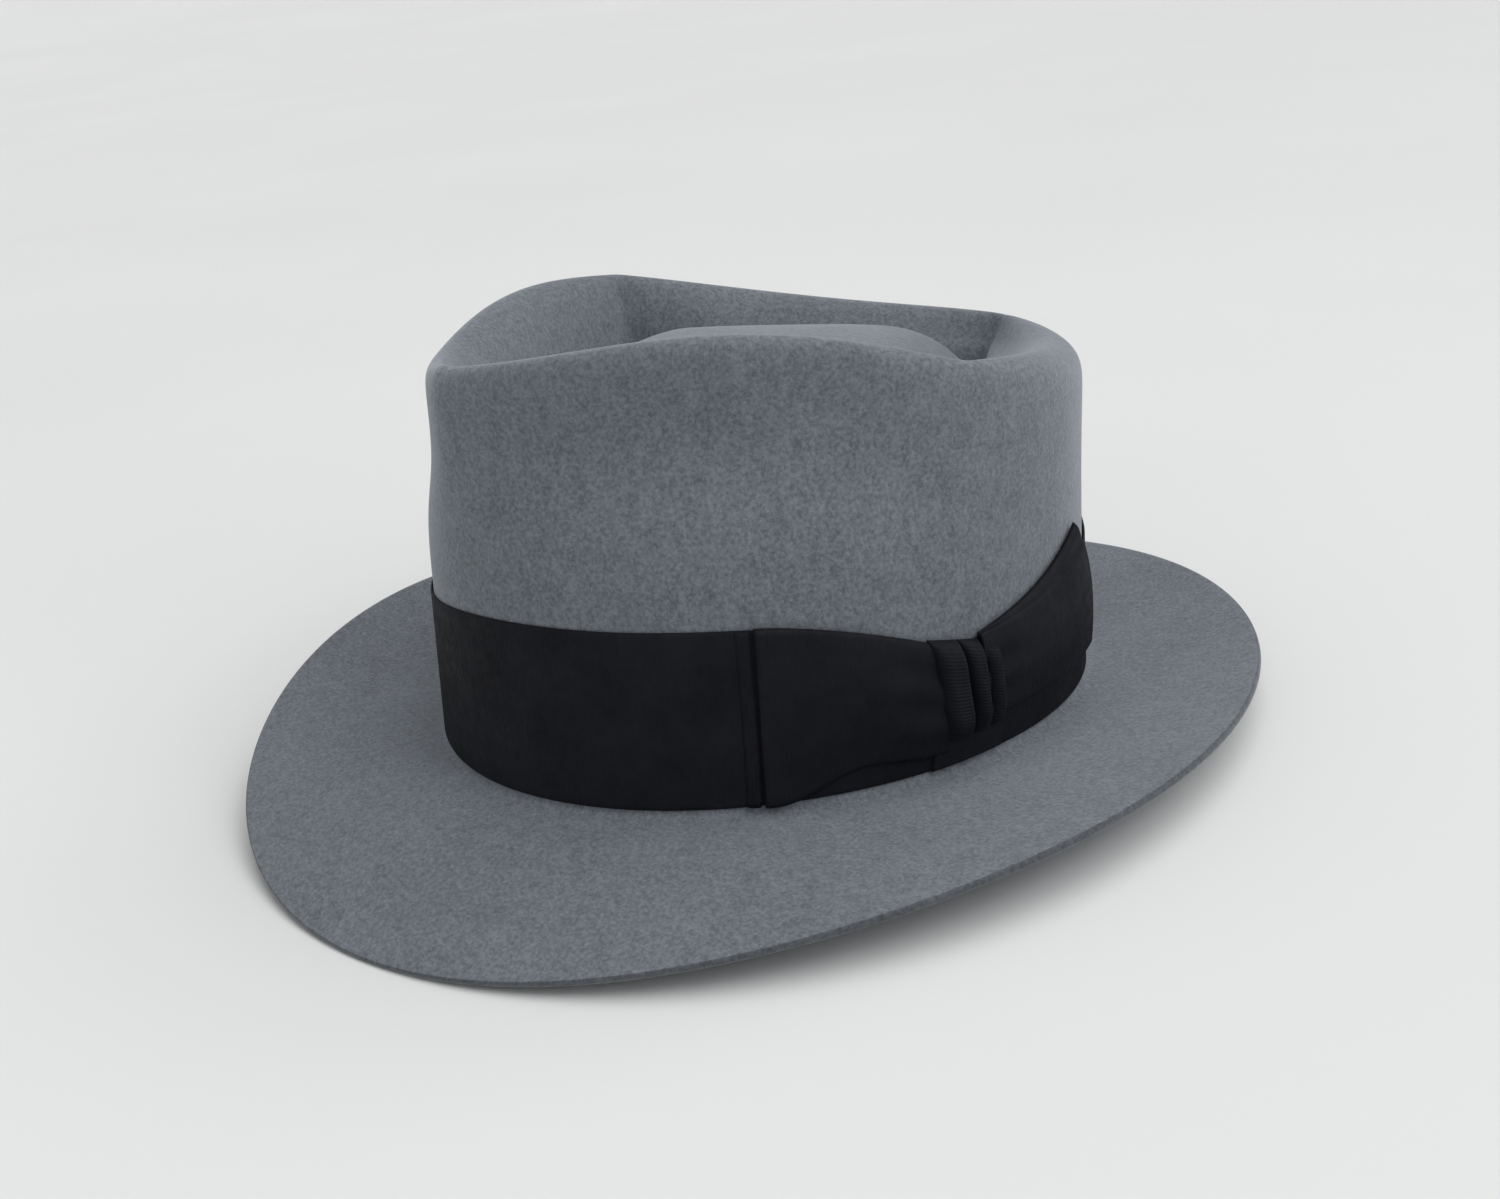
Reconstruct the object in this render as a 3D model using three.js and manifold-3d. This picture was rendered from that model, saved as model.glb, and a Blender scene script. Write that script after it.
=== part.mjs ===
// A soft felt hat with a diamond-creased crown, a snap brim, a wide ribbed ribbon and a side bow.
// Millimetres, +Z up, front of the hat towards -Y, the bow on the wearer's left (+X).
// The hat is drawn level on its head oval and then leaned back until the brim stands on a flat surface.
import * as THREE from 'three';
import { mergeVertices } from 'three/addons/utils/BufferGeometryUtils.js';
import Module from 'manifold-3d';

const wasm = await Module();
wasm.setup();

// Head oval: the outside of the felt at the brim break.
const HALF_LENGTH = 102.6;
const HALF_WIDTH = 90.2;
const FELT = 2.0;

// Crown: the four ridge corners of the diamond crease, in order round the hat from the front.
// angle is measured on the oval, 0 at the front and 90 at the wearer's left.
const CORNERS = [
  { angle: 0, height: 114.5, inset: 7 },
  { angle: 98, height: 109, inset: 4 },
  { angle: 180, height: 98.5, inset: 3 },
  { angle: 268, height: 117, inset: 5 },
  { angle: 360, height: 114.5, inset: 7 },
];
// The four lobes between those corners: how far the ridge bulges up, sways, and pulls in, how wide its
// outer shoulder is beyond the usual, and how deep the wall dents below it.
const LOBES = [
  { bulge: 12, sway: -2, inset: 6, shoulder: 0, dent: 7 },
  { bulge: -3, sway: 0, inset: 5, shoulder: 4.5, dent: 0 },
  { bulge: -4.5, sway: 0, inset: 6, shoulder: 2, dent: 0 },
  { bulge: 0, sway: 3, inset: 8, shoulder: 0.5, dent: 1.5 },
];
const SHOULDER = 3.6;
const CREASE_SOFTNESS = 0.06;
const WALL_STRAIGHT_TOP = 61;
const WALL_TAPER_HEIGHT = 51;
const GUTTER_HEIGHT = 84;
const GUTTER_CORNER_RISE = 6;
const GUTTER_DEPTH = 17.5;
const GUTTER_AT_CORNER = 0.9;
const GUTTER_AT_LOBE = 0.69;
const ISLAND_AT_CORNER = 0.65;
const ISLAND_AT_LOBE = 0.55;
const ISLAND_HEIGHT = 104.5;
const ISLAND_TILT = -0.03;
const ISLAND_DOME = 3;

// Brim: width at the sides, extra at the front, and how its edge rises and falls round the hat.
const BRIM_WIDTH = 55.2;
const BRIM_FRONT_EXTRA = 5.5;
const BREAK_RISE = -0.74;
const BREAK_OUT = 4.5;
const BREAK_DROP = 1.4;
const EDGE_COS = [-0.14, -9.32, -6.17, -3.64];
const EDGE_SIN = [0, -2.18, -6.57];

// The hat stands on the front edge of its brim and on the bend behind the head, so the surface
// under the level hat climbs towards the back at this slope, and presses small flats into the felt.
const REST_SLOPE = 0.066;
const REST_FLAT = 0.4;
const SLAB = { across: 600, thick: 40 };

// Ribbon, 2 inch (50.8 mm) grosgrain, gathered down where the bow's knot ties it.
const GAP = 0.35;
const RIBBON = 0.5;
const RIBBON_HEIGHT = 50.8;
const RIBBON_FOOT = 1.3;
const GATHER_DEPTH = 15;
const GATHER_CENTRE = 3;
const GATHER_SPREAD_FRONT = 32;
const GATHER_SPREAD_REAR = 95;
const DIP_DEPTH = 5.5;
const DIP_ANGLE = 335;
const DIP_SPREAD = 28;

// Lining and sweatband inside the crown.
const LINING = 0.5;
const LINING_FOOT = 9;
const LINING_SHOULDER = 70;
const LINING_TOP = 77;
const LINING_SLACK = 7.5;
const SLACK_START = 50;
const LINING_TIP_SCALE = 0.84;
const LEATHER = 1.0;
const LEATHER_FOOT = 3.2;
const LEATHER_TOP = 49;
const REED = 2.2;

const AROUND = 60;
// Rows of the felt between the crown's middle and the brim break, counted in control points.
const CROWN_ROWS = [0, 2, 3, 4, 5, 6, 8, 9, 10, 10.7, 12, 13, 14, 15, 16, 18, 19, 20, 21];
const BRIM_STEPS = 5;

const colours = {
  felt: { color: 0x676b70, roughness: 0.95, metalness: 0 },
  ribbon: { color: 0x14161b, roughness: 0.75, metalness: 0 },
  leather: { color: 0x4a2f1f, roughness: 0.55, metalness: 0 },
  satin: { color: 0x8a8c90, roughness: 0.35, metalness: 0 },
  label: { color: 0xe9e4d6, roughness: 0.8, metalness: 0 },
  reed: { color: 0x2b1d14, roughness: 0.6, metalness: 0 },
};

const lerp = THREE.MathUtils.lerp;
const rad = THREE.MathUtils.degToRad;

function smooth(t) {
  const c = THREE.MathUtils.clamp(t, 0, 1);
  return c * c * (3 - 2 * c);
}

// Point of the head oval at angle theta (radians), moved out along its normal.
function onOval(theta, outset, z) {
  const x = HALF_WIDTH * Math.sin(theta);
  const y = -HALF_LENGTH * Math.cos(theta);
  const normal = new THREE.Vector2(Math.sin(theta) / HALF_WIDTH, -Math.cos(theta) / HALF_LENGTH).normalize();
  return new THREE.Vector3(x + normal.x * outset, y + normal.y * outset, z);
}

// Where theta falls between two ridge corners: the pair's index and the share of the way.
function lobeAt(theta) {
  const degrees = THREE.MathUtils.euclideanModulo(THREE.MathUtils.radToDeg(theta), 360);
  let i = 0;
  while (degrees >= CORNERS[i + 1].angle) i += 1;
  const share = (degrees - CORNERS[i].angle) / (CORNERS[i + 1].angle - CORNERS[i].angle);
  const arch = Math.hypot(Math.sin(Math.PI * share), CREASE_SOFTNESS) - CREASE_SOFTNESS;
  return { i, share, arch };
}

function ridgeAt(theta) {
  const { i, share, arch } = lobeAt(theta);
  const from = CORNERS[i];
  const to = CORNERS[i + 1];
  const lobe = LOBES[i];
  const sway = lobe.sway * Math.sin(2 * Math.PI * share);
  return {
    arch,
    height: lerp(from.height, to.height, share) + lobe.bulge * arch + sway,
    inset: lerp(from.inset, to.inset, share) + lobe.inset * arch,
    shoulder: SHOULDER + lobe.shoulder * arch,
    dent: lobe.dent * smooth(arch),
  };
}

// How far the crown wall leans in at height z, up to the ribbon's top edge.
function wallInset(theta, z) {
  const atRibbonTop = 0.4 + 1.2 * (1 + Math.cos(theta)) / 2;
  return atRibbonTop * z / WALL_TAPER_HEIGHT;
}

function breakHeight(theta) {
  return BREAK_RISE * Math.cos(2 * theta);
}

function brimWidth(theta) {
  return BRIM_WIDTH + BRIM_FRONT_EXTRA * Math.cos(theta);
}

// Height of the middle of the brim's edge.
function edgeHeight(theta) {
  let z = 0;
  EDGE_COS.forEach((amount, n) => { z += amount * Math.cos(n * theta); });
  EDGE_SIN.forEach((amount, n) => { z += amount * Math.sin(n * theta); });
  return z;
}

// Control points of the crown's outer skin at theta, from its middle to the brim break.
function crownControls(theta) {
  const ridge = ridgeAt(theta);
  const crest = onOval(theta, -ridge.inset, 0);
  const gutter = lerp(GUTTER_AT_CORNER, GUTTER_AT_LOBE, ridge.arch ** 0.7);
  const island = lerp(ISLAND_AT_CORNER, ISLAND_AT_LOBE, ridge.arch);
  const rising = GUTTER_HEIGHT + GUTTER_CORNER_RISE * (1 - ridge.arch);
  const inside = (scale, z) => new THREE.Vector3(crest.x * scale, crest.y * scale, z);
  const wall = (inset, z) => onOval(theta, -inset, z);
  const hill = (scale, z) => inside(scale, z + ISLAND_TILT * crest.y * scale);
  const drop = 3 + 0.5 * (ridge.shoulder - SHOULDER);
  const top = ridge.height + 1.5;
  const low = Math.min(rising, top - GUTTER_DEPTH);
  const shoulder = ridge.inset - ridge.shoulder;
  const sill = top - drop - 9;
  const foot = wallInset(theta, WALL_TAPER_HEIGHT);
  return [
    hill(0, ISLAND_HEIGHT + ISLAND_DOME),
    hill(island * 0.3, ISLAND_HEIGHT + ISLAND_DOME),
    hill(island * 0.65, ISLAND_HEIGHT + ISLAND_DOME * 0.6),
    hill(island * 0.92, ISLAND_HEIGHT - 1),
    hill(lerp(island, gutter, 0.4), ISLAND_HEIGHT - 9),
    inside(lerp(island, gutter, 0.75), low + 2),
    inside(gutter, low - 2),
    inside(lerp(gutter, 1, 0.22), low + 7),
    inside(lerp(gutter, 1, 0.45), top - 9),
    inside(lerp(gutter, 1, 0.75), top - 1.5),
    inside(1, top),
    wall(shoulder, top - drop),
    wall(shoulder - 0.2 + ridge.dent * 0.3, sill),
    wall(lerp(foot, shoulder, 0.8) + ridge.dent, lerp(sill, WALL_STRAIGHT_TOP, 0.34)),
    wall(lerp(foot, shoulder, 0.3) + ridge.dent * 0.25, lerp(sill, WALL_STRAIGHT_TOP, 0.68)),
    wall(foot, WALL_STRAIGHT_TOP),
    wall(wallInset(theta, 40), 40),
    wall(wallInset(theta, 20), 20),
    wall(0.1, 5),
    wall(0.2, breakHeight(theta) + 0.6),
    wall(-1.2, breakHeight(theta) - 1),
    wall(-BREAK_OUT, breakHeight(theta) - BREAK_DROP),
  ];
}

// Point of a uniform cubic B-spline that starts and ends on its end points; t counts control points.
function splinePoint(controls, t) {
  const first = controls[0].clone().multiplyScalar(2).sub(controls[1]);
  const last = controls.at(-1).clone().multiplyScalar(2).sub(controls.at(-2));
  const all = [first, ...controls, last];
  const i = Math.min(Math.floor(t), controls.length - 2);
  const u = t - i;
  const weights = [
    (1 - u) ** 3,
    3 * u ** 3 - 6 * u ** 2 + 4,
    -3 * u ** 3 + 3 * u ** 2 + 3 * u + 1,
    u ** 3,
  ];
  const point = new THREE.Vector3();
  weights.forEach((weight, k) => point.addScaledVector(all[i + k], weight / 6));
  return point;
}

// The brim's top face at a share of its width, from the break out to the edge.
function brimPoint(theta, share) {
  const start = breakHeight(theta) - BREAK_DROP;
  const end = edgeHeight(theta) + FELT / 2;
  const out = lerp(BREAK_OUT, brimWidth(theta), share);
  return onOval(theta, out, lerp(start, end, share ** 1.45));
}

// One radial line of the felt's outer skin.
function skinLine(theta) {
  const controls = crownControls(theta);
  const line = CROWN_ROWS.map((row) => splinePoint(controls, row));
  for (let j = 1; j <= BRIM_STEPS; j += 1) line.push(brimPoint(theta, j / BRIM_STEPS));
  return line;
}

// Turns a mesh into a solid that can be cut.
function toSolid(geometry) {
  const plain = geometry.clone();
  plain.deleteAttribute('normal');
  plain.deleteAttribute('uv');
  const merged = mergeVertices(plain, 1e-4);
  const index = merged.index.array;
  const kept = [];
  for (let i = 0; i < index.length; i += 3) {
    const [a, b, c] = index.slice(i, i + 3);
    if (a !== b && b !== c && c !== a) kept.push(a, b, c);
  }
  const mesh = new wasm.Mesh({
    numProp: 3,
    vertProperties: new Float32Array(merged.attributes.position.array),
    triVerts: new Uint32Array(kept),
  });
  return new wasm.Manifold(mesh);
}

function toGeometry(solid) {
  const mesh = solid.getMesh();
  const geometry = new THREE.BufferGeometry();
  geometry.setAttribute('position', new THREE.BufferAttribute(new Float32Array(mesh.vertProperties), 3));
  geometry.setIndex(new THREE.BufferAttribute(new Uint32Array(mesh.triVerts), 1));
  geometry.computeVertexNormals();
  return geometry;
}

function named(name, geometry, look) {
  const mesh = new THREE.Mesh(geometry, new THREE.MeshStandardMaterial(look));
  mesh.name = name;
  return mesh;
}

// A body of revolution whose points are then placed one by one: place(theta, j) for profile point j.
function reshapedLathe(count, closed, place) {
  const profile = [];
  for (let j = 0; j < count; j += 1) profile.push(new THREE.Vector2(1, j));
  if (closed) profile.push(profile[0].clone());
  const geometry = new THREE.LatheGeometry(profile, AROUND);
  const position = geometry.attributes.position;
  for (let i = 0; i <= AROUND; i += 1) {
    const theta = (i % AROUND) * 2 * Math.PI / AROUND;
    for (let j = 0; j < profile.length; j += 1) {
      const point = place(theta, j % count);
      position.setXYZ(i * profile.length + j, point.x, point.y, point.z);
    }
  }
  return geometry;
}

// The felt: one sheet of even thickness, from the middle of the crown to the edge of the brim.
function feltGeometry() {
  const lines = [];
  for (let i = 0; i < AROUND; i += 1) lines.push(skinLine(i * 2 * Math.PI / AROUND));
  const count = lines[0].length;
  const under = lines.map((line, i) => line.map((point, j) => {
    const before = lines[(i + AROUND - 1) % AROUND][j];
    const after = lines[(i + 1) % AROUND][j];
    const along = line[Math.min(j + 1, count - 1)].clone().sub(line[Math.max(j - 1, 0)]);
    const normal = along.cross(after.clone().sub(before)).normalize();
    if (j === 0) normal.set(0, 0, 1);
    return point.clone().addScaledVector(normal, -FELT);
  }));
  return reshapedLathe(2 * count, false, (theta, j) => {
    const i = Math.round(theta * AROUND / (2 * Math.PI));
    return j < count ? under[i][j] : lines[i][2 * count - 1 - j];
  });
}

// The felt stands on small flats, where the lowest parts of its brim are pressed against the surface.
function pressedFlat(geometry) {
  const tilt = Math.atan(REST_SLOPE);
  const position = geometry.attributes.position;
  let lowest = Infinity;
  for (let i = 0; i < position.count; i += 1) {
    const height = position.getZ(i) * Math.cos(tilt) - position.getY(i) * Math.sin(tilt);
    lowest = Math.min(lowest, height);
  }
  const slab = new THREE.BoxGeometry(SLAB.across, SLAB.across, SLAB.thick);
  slab.translate(0, 0, lowest + REST_FLAT - SLAB.thick / 2);
  slab.rotateX(tilt);
  return toGeometry(toSolid(geometry).subtract(toSolid(slab)));
}

// A thin band inside or outside the crown wall, between two heights and two distances from the felt.
function wallBand(rows, inner, outer) {
  const count = rows.length;
  return reshapedLathe(2 * count, true, (theta, j) => {
    const up = j < count;
    const row = rows[up ? j : 2 * count - 1 - j];
    const z = typeof row === 'function' ? row(theta) : row;
    return onOval(theta, (up ? outer : inner) - wallInset(theta, z), z);
  });
}

// Arc length round the ribbon, measured from the wearer's left, for angles on the oval.
const ARC_STEPS = 360;
const ARC = (() => {
  const table = [];
  let length = 0;
  let previous = onOval(-Math.PI / 2, RIBBON + GAP, 0);
  for (let i = 0; i <= 2 * ARC_STEPS; i += 1) {
    const theta = (i / ARC_STEPS - 0.5) * Math.PI;
    const point = onOval(theta, RIBBON + GAP, 0);
    length += point.distanceTo(previous);
    table.push({ theta, length });
    previous = point;
  }
  const middle = table[ARC_STEPS].length;
  return table.map((row) => ({ theta: row.theta, s: row.length - middle }));
})();

function thetaAt(s) {
  const k = Math.max(1, ARC.findIndex((row) => row.s >= s));
  const a = ARC[k - 1];
  const b = ARC[k];
  return lerp(a.theta, b.theta, (s - a.s) / (b.s - a.s));
}

function arcAt(theta) {
  const k = Math.max(1, ARC.findIndex((row) => row.theta >= theta));
  const a = ARC[k - 1];
  const b = ARC[k];
  return lerp(a.s, b.s, (theta - a.theta) / (b.theta - a.theta));
}

// Height of the ribbon's top edge: gathered low under the bow and dipping a little at the front right.
function ribbonTop(theta) {
  const turn = theta > 1.5 * Math.PI ? theta - 2 * Math.PI : theta;
  const away = arcAt(turn) - GATHER_CENTRE;
  const gather = Math.exp(-((away / (away > 0 ? GATHER_SPREAD_REAR : GATHER_SPREAD_FRONT)) ** 2));
  const dip = (THREE.MathUtils.radToDeg(turn) + 360 - DIP_ANGLE) / DIP_SPREAD;
  return RIBBON_HEIGHT - GATHER_DEPTH * gather - DIP_DEPTH * Math.exp(-dip * dip);
}

// A thin block laid on the crown wall: place(u, v) gives arc length, height, and inner and outer distance.
function laidBlock(columns, rows, place) {
  const geometry = new THREE.BoxGeometry(1, 1, 1, columns, rows, 1);
  const position = geometry.attributes.position;
  for (let i = 0; i < position.count; i += 1) {
    const spot = place(position.getX(i) + 0.5, position.getY(i) + 0.5);
    const theta = thetaAt(spot.s);
    const outset = position.getZ(i) > 0 ? spot.outer : spot.inner;
    const point = onOval(theta, outset - wallInset(theta, spot.z), spot.z);
    position.setXYZ(i, point.x, point.y, point.z);
  }
  return geometry;
}

const BOW_SEAT = GAP + RIBBON + GAP;
const KNOT_START = -7;
const KNOT_END = 17.5;
const KNOT_HEIGHT = 6.5;

// Front wing: a flat loop of ribbon from its folded edge to the knot, narrowing as it is gathered.
function frontWing() {
  return laidBlock(10, 6, (u, v) => {
    const s = lerp(-56, KNOT_START - GAP, u);
    const bottom = lerp(1.2, 6.5, smooth(u)) + 3 * Math.sin(Math.PI * u) * u;
    const top = lerp(50.6, 38.4, u ** 1.35);
    const swell = Math.sin(Math.PI * Math.min(1, u * 0.75 + 0.2));
    const puff = 1.4 + 2.6 * swell * Math.sin(Math.PI * lerp(0.12, 0.88, v));
    return { s, z: lerp(bottom, top, v), inner: BOW_SEAT, outer: BOW_SEAT + puff };
  });
}

// Rear wing: it fans out of the knot to a point that stands above the ribbon.
function rearWing() {
  return laidBlock(10, 6, (u, v) => {
    const edge = lerp(66.5, 55, v * v);
    const s = lerp(KNOT_END + GAP, edge, u);
    const bottom = lerp(13, 14, u);
    const top = lerp(38, 53.8, u);
    const puff = 1.4 + 3 * Math.sin(Math.PI * lerp(0.1, 0.75, u)) * Math.sin(Math.PI * lerp(0.15, 0.85, v));
    return { s, z: lerp(bottom, top, v), inner: BOW_SEAT, outer: BOW_SEAT + puff };
  });
}

// Knot: a short upright wrap of ribbon over the gathered middle of the bow.
function knot() {
  return laidBlock(10, 6, (u, v) => {
    const s = lerp(KNOT_START, KNOT_END, u);
    const z = lerp(4.5, lerp(39.5, 34.5, u), v);
    const across = Math.sin(Math.PI * lerp(0.14, 0.86, u));
    const round = Math.sqrt(across * Math.sin(Math.PI * lerp(0.16, 0.84, v)));
    return { s, z, inner: BOW_SEAT, outer: BOW_SEAT + KNOT_HEIGHT * round };
  });
}

const LINING_OUT = -FELT - GAP;
const LEATHER_OUT = LINING_OUT - LINING - GAP;
const LEATHER_IN = LEATHER_OUT - LEATHER;

// Lining side: stands inside the crown wall and turns in at its shoulder to meet the tip.
function liningSide() {
  const rows = [LINING_FOOT, 30, SLACK_START, 60, LINING_SHOULDER];
  const count = rows.length + 1;
  return reshapedLathe(2 * count, true, (theta, j) => {
    const up = j < count;
    const k = up ? j : 2 * count - 1 - j;
    const out = up ? LINING_OUT : LINING_OUT - LINING;
    if (k < rows.length) {
      const slack = LINING_SLACK * smooth((rows[k] - SLACK_START) / (LINING_SHOULDER - SLACK_START));
      return onOval(theta, out - slack - wallInset(theta, rows[k]), rows[k]);
    }
    const rim = onOval(theta, 0, 0).multiplyScalar(LINING_TIP_SCALE + 0.02);
    return rim.setZ(LINING_TOP - (up ? 0 : LINING));
  });
}

// Lining tip: a shallow oval dome of satin under the crown's crease.
function liningTip() {
  const steps = 5;
  return toGeometry(toSolid(reshapedLathe(2 * steps, false, (theta, j) => {
    const over = j >= steps;
    const k = over ? 2 * steps - 1 - j : j;
    const share = k / (steps - 1);
    const point = onOval(theta, 0, 0).multiplyScalar(LINING_TIP_SCALE * share);
    return point.setZ(LINING_TOP + 1.4 * (1 - share * share) - (over ? 0 : LINING));
  })));
}

// Piping: a thin cord that covers the seam between the lining's side and tip.
function liningPiping() {
  const radius = 0.8;
  return reshapedLathe(6, true, (theta, j) => {
    const angle = j * Math.PI / 3;
    const rim = onOval(theta, 0, 0).multiplyScalar(LINING_TIP_SCALE + 0.01);
    const out = rim.clone().normalize().multiplyScalar(radius * Math.cos(angle));
    return rim.add(out).setZ(LINING_TOP - LINING - GAP - radius + radius * Math.sin(angle));
  });
}

// Reed: the stiffening strip along the sweatband's lower edge, where it is sewn to the felt.
function reed() {
  return wallBand([0.2, 0.2 + REED / 2, 0.2 + REED], LEATHER_OUT - REED * 0.7, LEATHER_OUT);
}

// Small trims at the back of the sweatband, drawn as blocks on the wall and turned to the back.
function backBlock(columns, rows, width, place) {
  const geometry = new THREE.BoxGeometry(1, 1, 1, columns, rows, 1);
  const position = geometry.attributes.position;
  for (let i = 0; i < position.count; i += 1) {
    const spot = place(position.getX(i) * 2, position.getY(i) + 0.5);
    const theta = Math.PI + position.getX(i) * width / HALF_WIDTH;
    const outset = position.getZ(i) > 0 ? spot.outer : spot.inner;
    const point = onOval(theta, outset - wallInset(theta, spot.z), spot.z);
    position.setXYZ(i, point.x, point.y, point.z);
  }
  return geometry;
}

// Seam tape over the joint of the sweatband's two ends.
function seamTape() {
  const outer = LEATHER_IN - GAP;
  return backBlock(2, 3, 11, (u, v) => ({ z: lerp(LEATHER_FOOT + 1, 44, v), inner: outer - 0.6, outer }));
}

// Little flat bow at the foot of that seam.
function sweatbandBow() {
  const outer = LEATHER_IN - GAP - 0.6 - GAP;
  return backBlock(8, 2, 24, (u, v) => {
    const half = lerp(1.6, 4.2, smooth(Math.abs(u) * 1.4));
    return { z: 10 + lerp(-half, half, v), inner: outer - 1.6, outer };
  });
}

// Blank size label on the sweatband, left of the seam.
function sizeLabel() {
  const outer = LEATHER_IN - GAP;
  const geometry = new THREE.BoxGeometry(1, 1, 1, 3, 1, 1);
  const position = geometry.attributes.position;
  for (let i = 0; i < position.count; i += 1) {
    const theta = rad(154) + position.getX(i) * rad(11);
    const z = 26 + position.getY(i) * 12;
    const outset = position.getZ(i) > 0 ? outer : outer - 0.5;
    const point = onOval(theta, outset - wallInset(theta, z), z);
    position.setXYZ(i, point.x, point.y, point.z);
  }
  return geometry;
}

const hat = new THREE.Group();
hat.add(named('felt_body', pressedFlat(feltGeometry()), colours.felt));
const ribbonRows = [(theta) => RIBBON_FOOT + breakHeight(theta), (theta) => ribbonTop(theta) / 2, ribbonTop];
hat.add(named('ribbon_band', wallBand(ribbonRows, GAP, GAP + RIBBON), colours.ribbon));
hat.add(named('bow_front_wing', frontWing(), colours.ribbon));
hat.add(named('bow_rear_wing', rearWing(), colours.ribbon));
hat.add(named('bow_knot', knot(), colours.ribbon));
hat.add(named('sweatband', wallBand([LEATHER_FOOT, 26, LEATHER_TOP], LEATHER_IN, LEATHER_OUT), colours.leather));
hat.add(named('sweatband_reed', reed(), colours.reed));
hat.add(named('sweatband_seam_tape', seamTape(), colours.leather));
hat.add(named('sweatband_bow', sweatbandBow(), colours.ribbon));
hat.add(named('size_label', sizeLabel(), colours.label));
hat.add(named('lining_side', liningSide(), colours.satin));
hat.add(named('lining_tip', liningTip(), colours.satin));
hat.add(named('lining_piping', liningPiping(), colours.satin));

// Lean the level hat back onto its brim, then bring the middle of its footprint to the origin.
hat.rotation.x = -Math.atan(REST_SLOPE);
const footprint = new THREE.Box3().setFromObject(hat, true);
const middle = footprint.getCenter(new THREE.Vector3());
hat.position.set(-middle.x, -middle.y, -footprint.min.z);

const group = new THREE.Group();
group.add(hat);

export default group;
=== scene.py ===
# A grey felt fedora with a diamond-creased crown, a wide ribbed ribbon, a side bow and a lined inside.
import math

import bmesh
import bpy
import numpy as np
from mathutils import Matrix, Vector


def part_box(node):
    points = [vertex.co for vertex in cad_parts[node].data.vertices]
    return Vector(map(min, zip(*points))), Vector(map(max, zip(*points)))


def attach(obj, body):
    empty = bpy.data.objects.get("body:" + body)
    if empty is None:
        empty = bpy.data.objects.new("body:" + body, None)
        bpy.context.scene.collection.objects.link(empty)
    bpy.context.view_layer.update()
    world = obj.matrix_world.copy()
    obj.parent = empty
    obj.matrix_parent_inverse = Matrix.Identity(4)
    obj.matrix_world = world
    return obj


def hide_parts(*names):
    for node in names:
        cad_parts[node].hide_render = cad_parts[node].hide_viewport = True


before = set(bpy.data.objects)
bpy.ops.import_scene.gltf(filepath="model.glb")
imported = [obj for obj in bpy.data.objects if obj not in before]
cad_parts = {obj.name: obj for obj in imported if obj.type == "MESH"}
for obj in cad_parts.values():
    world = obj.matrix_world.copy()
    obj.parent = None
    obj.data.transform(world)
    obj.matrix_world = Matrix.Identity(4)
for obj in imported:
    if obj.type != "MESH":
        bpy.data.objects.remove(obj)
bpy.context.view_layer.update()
MM = 0.001

# The level hat, in millimetres: the same driving dimensions as the CAD part. Angles start at the
# front and turn towards the wearer's left.
HALF_LENGTH = 102.6
HALF_WIDTH = 90.2
FELT = 2.0
CORNER_ANGLE = np.array([0.0, 98.0, 180.0, 268.0, 360.0])
CORNER_HEIGHT = np.array([114.5, 109.0, 98.5, 117.0, 114.5])
CORNER_INSET = np.array([7.0, 4.0, 3.0, 5.0, 7.0])
LOBE_BULGE = np.array([12.0, -3.0, -4.5, 0.0])
LOBE_SWAY = np.array([-2.0, 0.0, 0.0, 3.0])
LOBE_INSET = np.array([6.0, 5.0, 6.0, 8.0])
LOBE_SHOULDER = np.array([0.0, 4.5, 2.0, 0.5])
LOBE_DENT = np.array([7.0, 0.0, 0.0, 1.5])
SHOULDER = 3.6
CREASE_SOFTNESS = 0.06
WALL_STRAIGHT_TOP = 61.0
TAPER_HEIGHT = 51.0
TAPER = (0.4, 1.2)
GUTTER_HEIGHT = 84.0
GUTTER_CORNER_RISE = 6.0
GUTTER_DEPTH = 17.5
GUTTER_AT = (0.90, 0.69)
ISLAND_AT = (0.65, 0.55)
ISLAND_HEIGHT = 104.5
ISLAND_TILT = -0.03
ISLAND_DOME = 3.0
BRIM_WIDTH = 55.2
BRIM_FRONT_EXTRA = 5.5
BREAK_RISE = -0.74
BREAK_OUT = 4.5
BREAK_DROP = 1.4
EDGE_COS = (-0.14, -9.32, -6.17, -3.64)
EDGE_SIN = (0.0, -2.18, -6.57)
REST_SLOPE = 0.066
REST_FLAT = 0.4
CROWN_SPANS = 21
BRIM_CURVE = 1.45

# Ribbon and bow. Places along the ribbon are arc lengths from the wearer's left towards the back.
GAP = 0.35
RIBBON = 0.5
RIBBON_HEIGHT = 50.8
RIBBON_FOOT = 1.3
GATHER_DEPTH = 15.0
GATHER_CENTRE = 3.0
GATHER_SPREAD = (32.0, 105.0)
DIP = (5.5, 335.0, 28.0)
RIB_PITCH = 1.03
RIB_DEPTH = 0.13
COLUMNS_PER_RIB = 6
SEAT = 2 * GAP + RIBBON
FRONT_WING_START = -56.0
FRONT_WING_LENGTH = 53.0
REAR_WING_START = 9.0
REAR_WING_SIDE = 72.0
REAR_WING_LENGTH = 50
REAR_WING_HEIGHT = 36.0
KNOT_START = -8.5
KNOT_WIDTH = 25.0
KNOT_TAIL_HEIGHT = 11.0
PLEAT_HEIGHT = 30.0

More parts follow.
